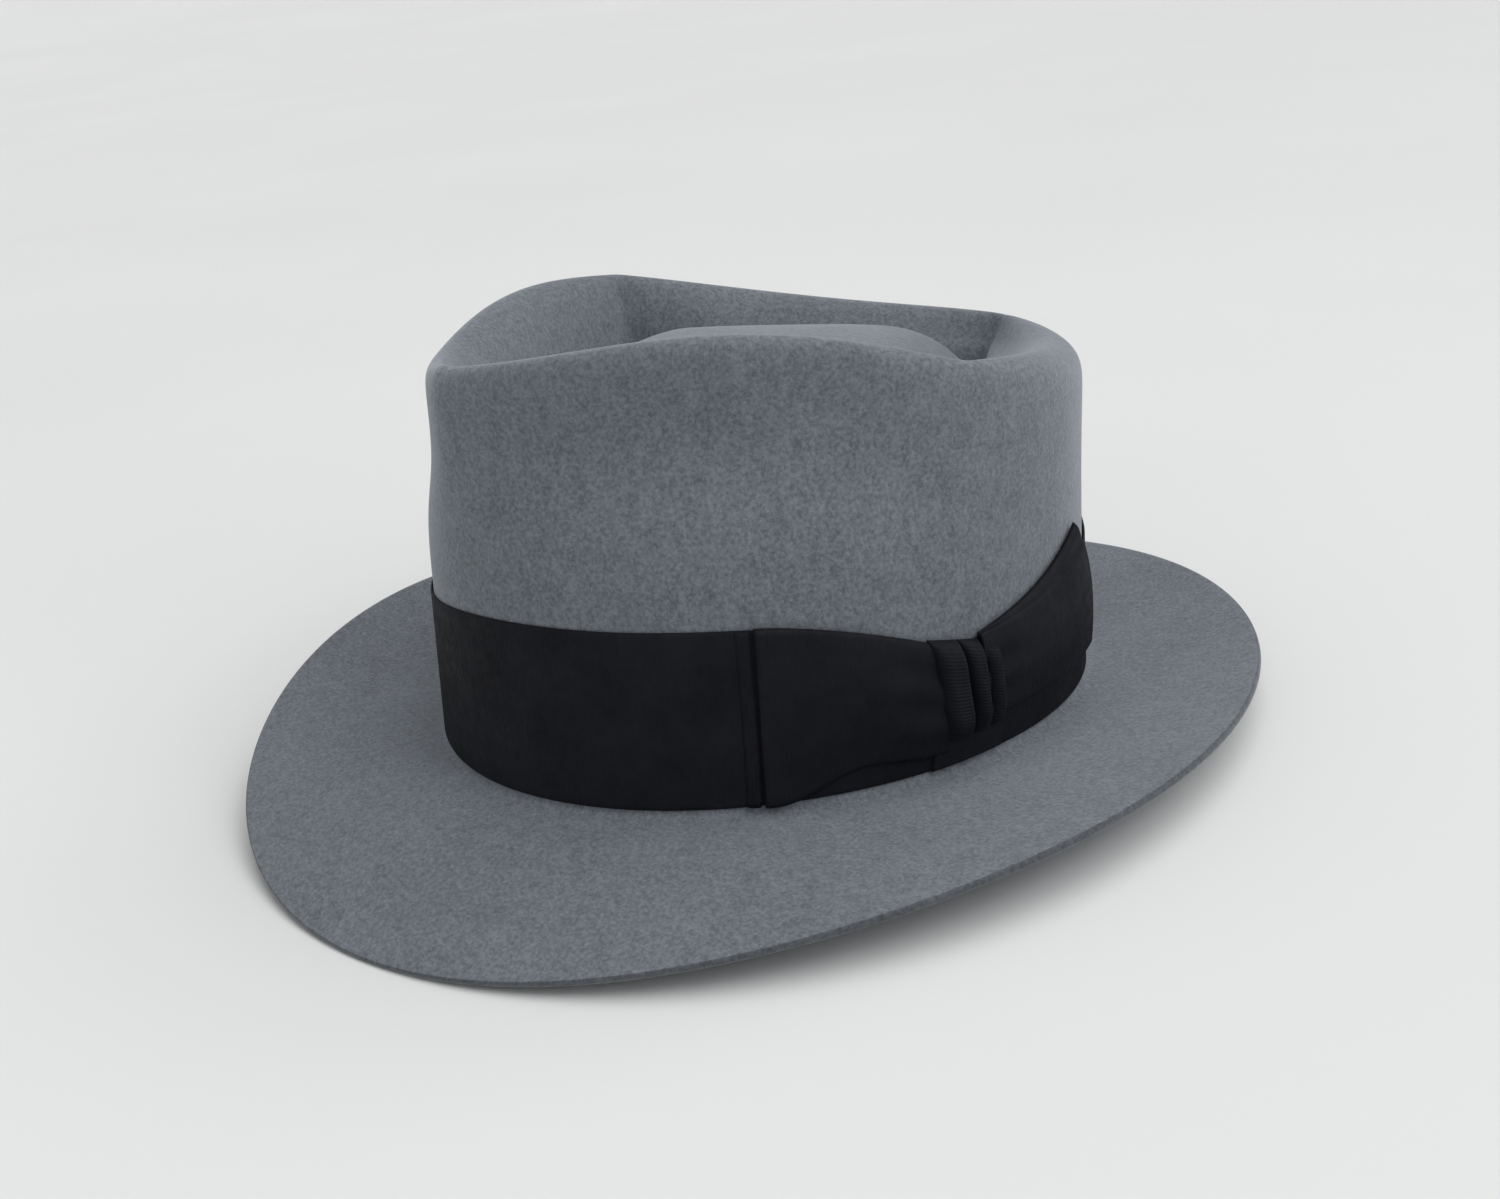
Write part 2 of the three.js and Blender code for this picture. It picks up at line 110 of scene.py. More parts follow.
# Inside.
LINING = 0.5
LINING_OUT = -FELT - GAP
LEATHER = 1.0
LEATHER_OUT = LINING_OUT - LINING - GAP
LEATHER_IN = LEATHER_OUT - LEATHER
LEATHER_FOOT = 3.2
LEATHER_TOP = 49.0
LINING_FOOT = 9.0
LINING_SHOULDER = 70.0
LINING_SLACK = 7.5
SLACK_START = 50.0
LINING_TOP = 77.0
LINING_SCALE = 0.84
LINING_DOME = 1.4
PIPING_RADIUS = 0.8
TAPE_THICKNESS = 0.6
LABEL_ANGLE = 154.0

# Camera, set in the level hat's frame.
VIEW_AZIMUTH = 57.98
VIEW_ELEVATION = 19.4
VIEW_ROLL = -3.96
VIEW_DISTANCE = 526.68
VIEW_TARGET = np.array([-1.94, -4.27, 26.18])
LENS = 40.8

# Floor, in metres: flat round the hat, then rising slowly so that it has no horizon.
FLOOR_FLAT = 2.5
FLOOR_RISE = 0.012
FLOOR_RADII = (0.0, 1.0, FLOOR_FLAT, 4.0, 6.0, 9.0, 13.0, 19.0, 28.0, 42.0, 60.0)
KEY_DIRECTION = (-0.22, -0.42, -0.9)

def lerp(a, b, t):
    return a + (b - a) * t


def smooth(t):
    c = np.clip(t, 0.0, 1.0)
    return c * c * (3 - 2 * c)


def points(x, y, z):
    return np.stack(np.broadcast_arrays(x, y, z), -1).astype(float)


def on_oval(theta, outset=0.0, z=0.0):
    """Point of the head oval at angle theta, moved out along its normal."""
    nx, ny = np.sin(theta) / HALF_WIDTH, -np.cos(theta) / HALF_LENGTH
    size = np.hypot(nx, ny)
    x = HALF_WIDTH * np.sin(theta) + outset * nx / size
    y = -HALF_LENGTH * np.cos(theta) + outset * ny / size
    return points(x, y, z)


def ridge(theta):
    """Arch of the lobe, and height, inset, shoulder width and wall dent of the crown's ridge."""
    degrees = np.degrees(theta) % 360
    i = np.clip(np.searchsorted(CORNER_ANGLE, degrees, "right") - 1, 0, 3)
    share = (degrees - CORNER_ANGLE[i]) / (CORNER_ANGLE[i + 1] - CORNER_ANGLE[i])
    arch = np.hypot(np.sin(np.pi * share), CREASE_SOFTNESS) - CREASE_SOFTNESS
    height = lerp(CORNER_HEIGHT[i], CORNER_HEIGHT[i + 1], share) + LOBE_BULGE[i] * arch
    height = height + LOBE_SWAY[i] * np.sin(2 * np.pi * share)
    inset = lerp(CORNER_INSET[i], CORNER_INSET[i + 1], share) + LOBE_INSET[i] * arch
    return arch, height, inset, SHOULDER + LOBE_SHOULDER[i] * arch, LOBE_DENT[i] * smooth(arch)


def wall_inset(theta, z):
    return (TAPER[0] + TAPER[1] * (1 + np.cos(theta)) / 2) * z / TAPER_HEIGHT


def break_height(theta):
    return BREAK_RISE * np.cos(2 * theta)


def brim_width(theta):
    return BRIM_WIDTH + BRIM_FRONT_EXTRA * np.cos(theta)


def edge_height(theta):
    z = sum(amount * np.cos(n * theta) for n, amount in enumerate(EDGE_COS))
    return z + sum(amount * np.sin(n * theta) for n, amount in enumerate(EDGE_SIN))


def crown_controls(theta):
    """Control points of the crown's outer skin, from its middle to the brim break."""
    arch, height, inset, shoulder_width, dent = ridge(theta)
    crest = on_oval(theta, -inset)
    gutter = lerp(GUTTER_AT[0], GUTTER_AT[1], arch**0.7)
    island = lerp(ISLAND_AT[0], ISLAND_AT[1], arch)
    top = height + 1.5
    low = np.minimum(GUTTER_HEIGHT + GUTTER_CORNER_RISE * (1 - arch), top - GUTTER_DEPTH)
    foot = wall_inset(theta, TAPER_HEIGHT)
    lift = break_height(theta)
    shoulder = inset - shoulder_width
    drop = 3 + 0.5 * (shoulder_width - SHOULDER)
    sill = top - drop - 9

    def inside(scale, z):
        return points(crest[..., 0] * scale, crest[..., 1] * scale, z)

    def hill(scale, z):
        return inside(scale, z + ISLAND_TILT * crest[..., 1] * scale)

    def wall(depth, z):
        return on_oval(theta, -depth, z)

    return np.stack([
        hill(0, ISLAND_HEIGHT + ISLAND_DOME),
        hill(island * 0.3, ISLAND_HEIGHT + ISLAND_DOME),
        hill(island * 0.65, ISLAND_HEIGHT + ISLAND_DOME * 0.6),
        hill(island * 0.92, ISLAND_HEIGHT - 1),
        hill(lerp(island, gutter, 0.4), ISLAND_HEIGHT - 9),
        inside(lerp(island, gutter, 0.75), low + 2),
        inside(gutter, low - 2),
        inside(lerp(gutter, 1, 0.22), low + 7),
        inside(lerp(gutter, 1, 0.45), top - 9),
        inside(lerp(gutter, 1, 0.75), top - 1.5),
        inside(1, top),
        wall(shoulder, top - drop),
        wall(shoulder - 0.2 + dent * 0.3, sill),
        wall(lerp(foot, shoulder, 0.8) + dent, lerp(sill, WALL_STRAIGHT_TOP, 0.34)),
        wall(lerp(foot, shoulder, 0.3) + dent * 0.25, lerp(sill, WALL_STRAIGHT_TOP, 0.68)),
        wall(foot, WALL_STRAIGHT_TOP),
        wall(wall_inset(theta, 40), 40),
        wall(wall_inset(theta, 20), 20),
        wall(0.1, 5),
        wall(0.2, lift + 0.6),
        wall(-1.2, lift - 1),
        wall(-BREAK_OUT, lift - BREAK_DROP),
    ])


def spline(controls, t):
    """Uniform cubic B-spline through the first and last control; t counts control points."""
    ends = 2 * controls[0] - controls[1], 2 * controls[-1] - controls[-2]
    every = np.concatenate([ends[0][None], controls, ends[1][None]])
    i = np.minimum(t.astype(int), len(controls) - 2)
    u = (t - i)[:, None, None]
    weights = (1 - u) ** 3, 3 * u**3 - 6 * u**2 + 4, -3 * u**3 + 3 * u**2 + 3 * u + 1, u**3
    return sum(w * every[i + k] for k, w in enumerate(weights)) / 6


def felt_skin(theta, crown_rows, brim_rows):
    """The felt's outer skin: crown rows count spline spans, brim rows run from 0 to 1."""
    crown = spline(crown_controls(theta), crown_rows)
    start = break_height(theta) - BREAK_DROP
    end = edge_height(theta) + FELT / 2
    share = brim_rows[:, None]
    out = lerp(BREAK_OUT, brim_width(theta), share)
    brim = on_oval(theta[None], out, lerp(start, end, share**BRIM_CURVE))
    return np.concatenate([crown, brim])


def normals_of(grid):
    """Outward normals of a grid whose columns go round the hat."""
    along = np.gradient(grid, axis=0)
    around = np.roll(grid, -1, 1) - np.roll(grid, 1, 1)
    n = np.cross(along, around)
    n /= np.maximum(np.linalg.norm(n, axis=-1, keepdims=True), 1e-9)
    n[0] = (0, 0, 1)
    return n


AROUND = 600
THETA = np.linspace(0, 2 * np.pi, AROUND, endpoint=False)
LEAN = -math.atan(REST_SLOPE)


def lean(grid):
    """From the level hat to the standing hat, before it is moved over the origin."""
    y, z = grid[..., 1], grid[..., 2]
    turned_y = y * math.cos(LEAN) - z * math.sin(LEAN)
    turned_z = y * math.sin(LEAN) + z * math.cos(LEAN)
    return np.stack([grid[..., 0], turned_y, turned_z], -1)


def stand_offset():
    """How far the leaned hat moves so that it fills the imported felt's box."""
    skin = felt_skin(THETA, np.arange(0, CROWN_SPANS + 0.01, 0.5), np.linspace(0.1, 1, 10))
    under = lean(skin - FELT * normals_of(skin)).reshape(-1, 3)
    both = np.concatenate([lean(skin).reshape(-1, 3), under])
    low, high = both.min(0), both.max(0)
    box_low, box_high = (np.array(c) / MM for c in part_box("felt_body"))
    middle = (box_low + box_high) / 2 - (low + high) / 2
    return np.array([middle[0], middle[1], box_low[2] - REST_FLAT - low[2]])


OFFSET = stand_offset()


def placed(grid):
    """Points of the level hat in millimetres, as points of the standing hat in metres."""
    out = lean(np.asarray(grid, float)) + OFFSET
    out[..., 2] = np.maximum(out[..., 2], 0.0)
    return out * MM


def add_mesh(name, vertices, faces, material, merge=False, second=None, marked=None):
    """A smooth closed mesh that faces out; marked faces take the second material."""
    mesh = bpy.data.meshes.new(name)
    vertices = np.asarray(vertices, np.float32)
    faces = np.asarray(faces, np.int32)
    a, b, c, d = (vertices[faces[:, k]].astype(float) for k in range(4))
    volume = (np.cross(a, b) * c).sum() + (np.cross(a, c) * d).sum()
    if volume < 0:
        faces = faces[:, ::-1]
    mesh.vertices.add(len(vertices))
    mesh.vertices.foreach_set("co", vertices.ravel())
    mesh.loops.add(faces.size)
    mesh.loops.foreach_set("vertex_index", faces.ravel())
    mesh.polygons.add(len(faces))
    mesh.polygons.foreach_set("loop_start", np.arange(0, faces.size, 4, dtype=np.int32))
    mesh.materials.append(material)
    if second is not None:
        mesh.materials.append(second)
        mesh.polygons.foreach_set("material_index", marked.astype(np.int32))
    mesh.update(calc_edges=True)
    if merge:
        work = bmesh.new()
        work.from_mesh(mesh)
        bmesh.ops.remove_doubles(work, verts=work.verts, dist=1e-7)
        bmesh.ops.dissolve_degenerate(work, edges=work.edges, dist=1e-8)
        work.to_mesh(mesh)
        work.free()
    mesh.validate()
    mesh.shade_smooth()
    piece = bpy.data.objects.new(name, mesh)
    bpy.context.scene.collection.objects.link(piece)
    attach(piece, "root")
    return piece


def grid_faces(rows, columns, wrap_rows, wrap_columns, start=0):
    last_row, last_column = rows - (not wrap_rows), columns - (not wrap_columns)
    i, j = np.meshgrid(np.arange(last_row), np.arange(last_column), indexing="ij")
    i, j = i.ravel(), j.ravel()
    k, m = (i + 1) % rows, (j + 1) % columns
    return start + np.stack([i * columns + j, i * columns + m, k * columns + m, k * columns + j], 1)


def ring_piece(name, section, material):
    """A closed body from a grid whose rows run round its section and whose columns run round the hat."""
    rows, columns = section.shape[:2]
    faces = grid_faces(rows, columns, True, True)
    return add_mesh(name, placed(section).reshape(-1, 3), faces, material)


def slab_piece(name, outer, inner, material):
    """A closed body between an outer and an inner grid of the same size."""
    rows, columns = outer.shape[:2]
    count = rows * columns
    at = np.arange(count).reshape(rows, columns)
    border = np.concatenate([at[0, :-1], at[:-1, -1], at[-1, :0:-1], at[:0:-1, 0]])
    following = np.roll(border, -1)
    rim = np.stack([following, border, border + count, following + count], 1)
    front = grid_faces(rows, columns, False, False)
    back = grid_faces(rows, columns, False, False, count)[:, ::-1]
    vertices = placed(np.concatenate([outer.reshape(-1, 3), inner.reshape(-1, 3)]))
    return add_mesh(name, vertices, np.concatenate([front, back, rim]), material)


def arc_lengths(theta):
    """Arc length round the ribbon at each angle, from the wearer's left towards the back."""
    steps = np.linalg.norm(np.diff(on_oval(theta, GAP + RIBBON), axis=0), axis=1)
    length = np.concatenate([[0], np.cumsum(steps)])
    return length - np.interp(np.pi / 2, theta, length)


ARC_THETA = np.linspace(0, 2 * np.pi, 2881)
ARC_LENGTH = arc_lengths(ARC_THETA)


def on_wall(s, z, outset):
    """Point on the ribbon's side of the crown: arc length, height, and distance out of the felt."""
    theta = np.interp(s, ARC_LENGTH, ARC_THETA)
    return on_oval(theta, outset - wall_inset(theta, z), z)


def ribs(phase, depth=RIB_DEPTH):
    """Height of rounded ribs: phase counts ribs."""
    return depth * np.sqrt(np.abs(np.cos(np.pi * phase)))


def rolled(distance, radius):
    """0 at a folded edge, rising to 1 a radius away from it, like the side of a roll."""
    t = np.clip(distance / radius, 0, 1)
    return np.sqrt(1 - (1 - t) ** 2)


# ---------------------------------------------------------------- materials


class Nodes:
    """A short way to write a material's nodes."""

    def __init__(self, name):
        self.material = bpy.data.materials.new(name)
        self.material.use_nodes = True
        self.tree = self.material.node_tree
        self.shader = self.tree.nodes["Principled BSDF"]
        self.place = self.add("ShaderNodeTexCoord").outputs["Object"]

    def add(self, kind, **inputs):
        node = self.tree.nodes.new(kind)
        for key, value in inputs.items():
            self.put(node.inputs[key.replace("_", " ")], value)
        return node

    def put(self, socket, value):
        if isinstance(value, bpy.types.NodeSocket):
            self.tree.links.new(value, socket)
        else:
            socket.default_value = value

    def set(self, **inputs):
        for key, value in inputs.items():
            self.put(self.shader.inputs[key.replace("_", " ")], value)

    def noise(self, scale, detail=3.0, roughness=0.55, stretch=None):
        place = self.place
        if stretch:
            mapping = self.add("ShaderNodeMapping", Vector=place)
            mapping.inputs["Scale"].default_value = stretch
            place = mapping.outputs["Vector"]
        node = self.add("ShaderNodeTexNoise", Vector=place, Scale=scale, Detail=detail, Roughness=roughness)
        return node.outputs["Fac"]

    def remap(self, value, low, high, to_low, to_high):
        node = self.add("ShaderNodeMapRange", Value=value)
        for key, amount in (("From Min", low), ("From Max", high), ("To Min", to_low), ("To Max", to_high)):
            node.inputs[key].default_value = amount
        return node.outputs["Result"]

    def math(self, operation, a, b):
        node = self.add("ShaderNodeMath")
        node.operation = operation
        self.put(node.inputs[0], a)
        self.put(node.inputs[1], b)
        return node.outputs[0]

    def mix(self, factor, a, b):
        node = self.add("ShaderNodeMix")
        node.data_type = "RGBA"
        self.put(node.inputs["Factor"], factor)
        self.put(node.inputs[6], a)
        self.put(node.inputs[7], b)
        return node.outputs[2]

    def bump(self, height, distance, strength=1.0, normal=None):
        node = self.add("ShaderNodeBump", Height=height, Distance=distance, Strength=strength)
        if normal is not None:
            self.put(node.inputs["Normal"], normal)
        return node.outputs["Normal"]


def felt_material(name, base):
    n = Nodes(name)
    dark = tuple(c * 0.55 for c in base) + (1,)
    light = tuple(c * 1.42 for c in base) + (1,)
    cloud = n.remap(n.noise(32, 4, 0.6), 0.32, 0.68, 0, 1)
    fleck = n.remap(n.noise(900, 3, 0.75), 0.36, 0.64, 0, 1)
    nap = n.remap(n.noise(330, 3, 0.7, (1, 1, 0.55)), 0.34, 0.66, 0, 1)
    blend = n.math("ADD", n.math("MULTIPLY", cloud, 0.16), n.math("MULTIPLY", fleck, 0.6))
    blend = n.math("ADD", blend, n.math("MULTIPLY", nap, 0.24))
    n.set(Base_Color=n.mix(blend, dark, light), Roughness=0.96, Specular_IOR_Level=0.12)
    n.set(Sheen_Weight=0.5, Sheen_Roughness=0.4, Sheen_Tint=(0.83, 0.88, 0.95, 1))
    fibres = n.bump(n.noise(1500, 2, 0.7), 0.00022, 0.5)
    n.set(Normal=n.bump(n.noise(420, 4, 0.7), 0.0005, 0.42, fibres))
    return n.material


def ribbon_material():
    n = Nodes("grosgrain")
    wear = n.remap(n.noise(60, 3), 0.35, 0.65, 0, 1)
    n.set(Base_Color=n.mix(wear, (0.006, 0.0065, 0.0095, 1), (0.0095, 0.01, 0.0135, 1)))
    n.set(Roughness=n.remap(n.noise(300, 2), 0.3, 0.7, 0.58, 0.72), Specular_IOR_Level=0.1)
    n.set(Normal=n.bump(n.noise(2600, 2, 0.6), 0.00006, 0.5))
    return n.material


def leather_material():
    n = Nodes("sweatband_leather")
    tone = n.remap(n.noise(45, 4, 0.6), 0.3, 0.7, 0, 1)
    n.set(Base_Color=n.mix(tone, (0.085, 0.042, 0.02, 1), (0.15, 0.078, 0.04, 1)))
    grain = n.add("ShaderNodeTexVoronoi", Vector=n.place, Scale=1100.0)
    grain.feature = "DISTANCE_TO_EDGE"
    n.set(Roughness=n.remap(n.noise(120, 3), 0.3, 0.7, 0.38, 0.55), Specular_IOR_Level=0.45)
    fine = n.bump(n.remap(grain.outputs["Distance"], 0, 0.25, 0, 1), 0.00008, 0.45)
    n.set(Normal=n.bump(n.noise(160, 3), 0.0004, 0.25, fine))
    return n.material


def satin_material():
    n = Nodes("lining_satin")
    tone = n.remap(n.noise(25, 3), 0.3, 0.7, 0, 1)
    n.set(Base_Color=n.mix(tone, (0.15, 0.155, 0.17, 1), (0.2, 0.205, 0.225, 1)))
    n.set(Roughness=0.33, Specular_IOR_Level=0.5, Sheen_Weight=0.25, Sheen_Roughness=0.3)
    threads = n.noise(700, 2, 0.5, (1, 1, 0.06))
    n.set(Normal=n.bump(n.noise(70, 3), 0.0008, 0.35, n.bump(threads, 0.00008, 0.4)))
    return n.material


def thread_material(name, colour):
    n = Nodes(name)
    tone = n.remap(n.noise(1800, 2), 0.3, 0.7, 0, 1)
    n.set(Base_Color=n.mix(tone, tuple(c * 0.8 for c in colour) + (1,), tuple(colour) + (1,)))
    n.set(Roughness=0.7, Sheen_Weight=0.2, Normal=n.bump(n.noise(3000, 2), 0.00005, 0.5))
    return n.material


def floor_material():
    n = Nodes("pale_floor")
    tone = n.remap(n.noise(2.0, 2), 0.3, 0.7, 0, 1)
    n.set(Base_Color=n.mix(tone, (0.70, 0.705, 0.70, 1), (0.72, 0.725, 0.72, 1)), Roughness=0.9)
    n.set(Specular_IOR_Level=0.1)
    return n.material


FELT_LOOK = felt_material("felt", (0.14, 0.153, 0.172))
# Darker felt for the brim's rim faces: painted shade along the edge of the brim.
EDGE_SHADE_LOOK = felt_material("felt_edge_painted_shade", (0.085, 0.09, 0.1))
GROSGRAIN = ribbon_material()
LEATHER_LOOK = leather_material()
SATIN = satin_material()
THREAD = thread_material("sweatband_thread", (0.25, 0.15, 0.08))
LABEL = thread_material("woven_label", (0.62, 0.58, 0.48))
TAPE = thread_material("reed_tape", (0.05, 0.035, 0.025))

# ---------------------------------------------------------------- felt


def make_felt():
    top, wall = np.arange(0, 3, 0.25), np.arange(14, 18, 0.25)
    creases, foot = np.arange(3, 14, 0.1), np.arange(18, CROWN_SPANS + 0.01, 0.125)
    crown_rows = np.concatenate([top, creases, wall, foot])
    brim_rows = np.linspace(0, 1, 56)[1:]
    skin = felt_skin(THETA, crown_rows, brim_rows)
    out = normals_of(skin)
    under = skin - FELT * out
    last, below = skin[-1], under[-1]
    away = on_oval(THETA, 1.0) - on_oval(THETA, 0.0)
    rim = []
    for turn in np.linspace(0, np.pi, 9)[1:-1]:
        middle = (last + below) / 2
        rim.append(middle + (last - middle) * math.cos(turn) + away * 0.55 * math.sin(turn))
    section = np.concatenate([skin, np.array(rim), under[::-1]])
    rows, columns = section.shape[:2]
    faces = grid_faces(rows, columns, False, True)
    row_of = np.repeat(np.arange(rows - 1), columns)
    # The rim rows take the darker felt, which is painted shade along the brim's edge.
    painted_shade_rim = (row_of >= len(skin) - 1) & (row_of <= len(skin) + len(rim) - 1)
    piece = add_mesh("felt_shell", placed(section).reshape(-1, 3), faces, FELT_LOOK, True, EDGE_SHADE_LOOK, painted_shade_rim)
    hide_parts("felt_body")


make_felt()

# ---------------------------------------------------------------- ribbon and bow


def ribbon_top(s):
    """Height of the ribbon's top edge: low under the bow and dipping at the front right."""
    spread = np.where(s > GATHER_CENTRE, GATHER_SPREAD[1], GATHER_SPREAD[0])
    gather = GATHER_DEPTH * np.exp(-(((s - GATHER_CENTRE) / spread) ** 2))
    degrees = np.degrees(np.interp(s, ARC_LENGTH, ARC_THETA))
    dip = sum(np.exp(-(((degrees + lap - DIP[1]) / DIP[2]) ** 2)) for lap in (0, 360))
    return RIBBON_HEIGHT - gather - DIP[0] * dip


def make_ribbon():
    around = ARC_LENGTH[-1] - ARC_LENGTH[0]
    count = round(around / RIB_PITCH)
    columns = count * COLUMNS_PER_RIB
    theta = np.linspace(0, 2 * np.pi, columns, endpoint=False)
    s = np.interp(theta, ARC_THETA, ARC_LENGTH)
    share = np.array([0, 0.006, 0.016, 0.03, 0.25, 0.5, 0.75, 0.97, 0.984, 0.994, 1])[:, None]
    foot = RIBBON_FOOT + break_height(theta)
    z = lerp(foot, ribbon_top(s), share)
    selvedge = 1 - np.clip(np.minimum(share, 1 - share) / 0.016, 0, 1)
    thick = RIBBON - 0.3 * selvedge
    outset = GAP + thick + ribs(s / RIB_PITCH)
    outer = on_oval(theta[None], outset - wall_inset(theta, z), z)
    inner = on_oval(theta[None], GAP + 0 * z - wall_inset(theta, z), z)
    section = np.concatenate([outer, inner[::-1]])
    piece = ring_piece("ribbon_wrap", section, GROSGRAIN)
    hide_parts("ribbon_band")


def make_front_wing():
    columns = int(FRONT_WING_LENGTH / RIB_PITCH) * COLUMNS_PER_RIB
    u = np.linspace(0, 1, columns)[None]
    v = np.linspace(0, 1, 56)[:, None]
    s = lerp(FRONT_WING_START, FRONT_WING_START + FRONT_WING_LENGTH, u)
    along = s - FRONT_WING_START
    top = 50.9 - 11.9 * np.clip(along / 48, 0, 1.1) ** 1.6
    bottom = 1.4 + 7.3 * smooth((along - 3) / 25) - 2.2 * smooth((along - 28) / 22)
    z = lerp(bottom, top, v)
    from_edge = np.minimum(v, 1 - v) * (top - bottom)
    arch = np.sin(np.pi * v) ** 0.8
    puff = 1.1 + 0.9 * np.exp(-along / 7) + 2.0 * smooth((u - 0.2) / 0.7) * arch
    gathers = 0.42 * np.sin(2 * np.pi * (3.1 * v + 0.2 + 0.25 * u)) * smooth((u - 0.5) / 0.5)
    body = (puff + gathers) * rolled(along, 1.3)
    body = np.maximum(body * lerp(0.55, 1, rolled(from_edge, 1.6)), 0.12)
    slope = s + 0.9 * (v - 0.5) * u
    outer = on_wall(s + 0 * v, z, SEAT + body + ribs(slope / RIB_PITCH))
    inner = on_wall(s + 0 * v, z, SEAT - 0.15 + 0 * z)
    piece = slab_piece("front_wing_loop", outer, inner, GROSGRAIN)
    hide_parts("bow_front_wing")


def make_front_tuck():
    """The bunched ribs of the ribbon just ahead of the front wing's fold."""
    u = np.linspace(0, 1, 60)[None]
    v = np.linspace(0, 1, 30)[:, None]
    s = lerp(-60.6, -57.0, u) + 0.35 * np.sin(3.0 * v + 0.4)
    z = lerp(1.7, 50.5, v) + 0 * u
    body = 0.75 * rolled((1 - u) * 3.6, 0.8) * rolled(u * 3.6, 2.4)
    lumps = ribs(u * 4.0, 0.3) * (0.7 + 0.3 * np.sin(5 * v + 1))
    outer = on_wall(s, z, SEAT - 0.2 + body + lumps)
    inner = on_wall(s, z, SEAT - 0.3 + 0 * z)
    piece = slab_piece("front_wing_tuck", outer, inner, GROSGRAIN)


def rear_layer(name, low, tip, tip_height, lift):
    """One layer of the rear wing: it fans from the knot to a folded right side and a point."""
    columns = int(REAR_WING_LENGTH / RIB_PITCH) * COLUMNS_PER_RIB
    u = np.linspace(0, 1, columns)[None]
    v = np.linspace(0, 1, 56)[:, None]
    right = tip + (REAR_WING_SIDE - tip) * (1 - v**2.3)
    right_height = lerp(low + 0.6, tip_height, v)
    s = lerp(REAR_WING_START, right, u)
    z = lerp(lerp(low, 37.4, v), right_height, u) - 1.6 * np.sin(np.pi * u) * v
    from_edge = np.minimum(v, 1 - v) * REAR_WING_HEIGHT
    round_right = rolled((1 - u) * (right - REAR_WING_START), 2.2)
    puff = 1.0 + 2.3 * np.sin(np.pi * np.clip(u * 0.85 + 0.05, 0, 1)) * np.sin(np.pi * v) ** 0.7
    puff = puff + 0.9 * u
    pleats = 0.35 * np.sin(2 * np.pi * (2.6 * v + 0.1)) * smooth((0.45 - u) / 0.45)
    body = np.maximum((puff + pleats) * round_right * lerp(0.5, 1, rolled(from_edge, 1.5)), 0.12)
    line = u * REAR_WING_LENGTH / RIB_PITCH
    outer = on_wall(s, z, SEAT + lift + body + ribs(line, RIB_DEPTH * 0.8))
    inner = on_wall(s, z, SEAT - 0.15 + lift * 0.9 + 0 * z)
    piece = slab_piece(name, outer, inner, GROSGRAIN)
    return piece


def make_rear_wing():
    back = rear_layer("rear_wing_back", 14.5, 62.0, 53.9, 0.0)
    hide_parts("bow_rear_wing")
    rear_layer("rear_wing_front", 13.0, 63.5, 49.4, 1.1)


def pleat(name, top_span, foot_span, lift):
    """One upright pleat of the knot: it leaves over the top edge and turns in near its foot."""
    rows = int(PLEAT_HEIGHT / RIB_PITCH) * COLUMNS_PER_RIB
    u = np.linspace(0, 1, 36)[None]
    v = np.linspace(0, 1, rows)[:, None]
    left = lerp(foot_span[0], top_span[0], v)
    right = lerp(foot_span[1], top_span[1], v)
    s = lerp(left, right, u)
    z = lerp(9.5, 39.6 - 0.22 * (s + 8), v)
    over_top = rolled((1 - v) * PLEAT_HEIGHT, 7.0)
    under_foot = rolled(v * PLEAT_HEIGHT, 9.0)
    width = right - left
    sides = rolled(u * width, 3.2) * rolled((1 - u) * width, 2.6)
    sag = 0.35 * np.sin(np.pi * u) * np.sin(7 * v + lift)
    body = np.maximum((lift + sag) * sides * over_top * under_foot, 0.1)
    line = v * PLEAT_HEIGHT / RIB_PITCH + 0.5 * u
    outer = on_wall(s, z, SEAT + body + ribs(line, 0.26))
    inner = on_wall(s, z, SEAT - 0.1 + 0 * z)
    piece = slab_piece(name, outer, inner, GROSGRAIN)
    return piece


def make_knot():
    first = pleat("knot_pleat_1", (-8.4, 1.4), (-4.2, 4.6), 5.9)
    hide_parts("bow_knot")
    pleat("knot_pleat_2", (1.5, 8.8), (5.0, 11.0), 5.1)
    pleat("knot_pleat_3", (9.1, 15.2), (11.4, 17.4), 4.2)
    u = np.linspace(0, 1, 60)[None]
    v = np.linspace(0, 1, 60)[:, None]
    s = lerp(KNOT_START, KNOT_START + KNOT_WIDTH, u) + 1.2 * v
    z = lerp(2.0 + 0.02 * (s - KNOT_START), 13.0, v)
    sides = rolled(u * KNOT_WIDTH, 0.8) * rolled((1 - u) * KNOT_WIDTH, 0.8)
    body = 0.9 * sides * rolled(v * KNOT_TAIL_HEIGHT, 0.8)
    line = v * KNOT_TAIL_HEIGHT / RIB_PITCH
    outer = on_wall(s, z, SEAT - 0.1 + np.maximum(body, 0.05) + ribs(line))
    inner = on_wall(s, z, SEAT - 0.2 + 0 * z)
    piece = slab_piece("knot_tail", outer, inner, GROSGRAIN)


make_ribbon()
make_front_wing()
make_front_tuck()
make_rear_wing()
make_knot()

# ---------------------------------------------------------------- inside


def wall_ring(name, heights, inner, outer, material):
    """A band round the inside of the wall, with rounded edges; inner and outer may follow the row."""
    z = np.asarray(heights, float)[:, None] + 0 * THETA
    edge = np.minimum(np.arange(len(heights)), np.arange(len(heights))[::-1])[:, None]
    ease = np.clip(edge / 2, 0, 1) ** 0.5
    middle = (inner + outer) / 2
    inside = lerp(middle, inner, lerp(0.3, 1, ease))
    outside = lerp(middle, outer, lerp(0.3, 1, ease))
    faces_out = on_oval(THETA[None], outside - wall_inset(THETA, z), z)
    faces_in = on_oval(THETA[None], inside - wall_inset(THETA, z), z)
    return ring_piece(name, np.concatenate([faces_out, faces_in[::-1]]), material)


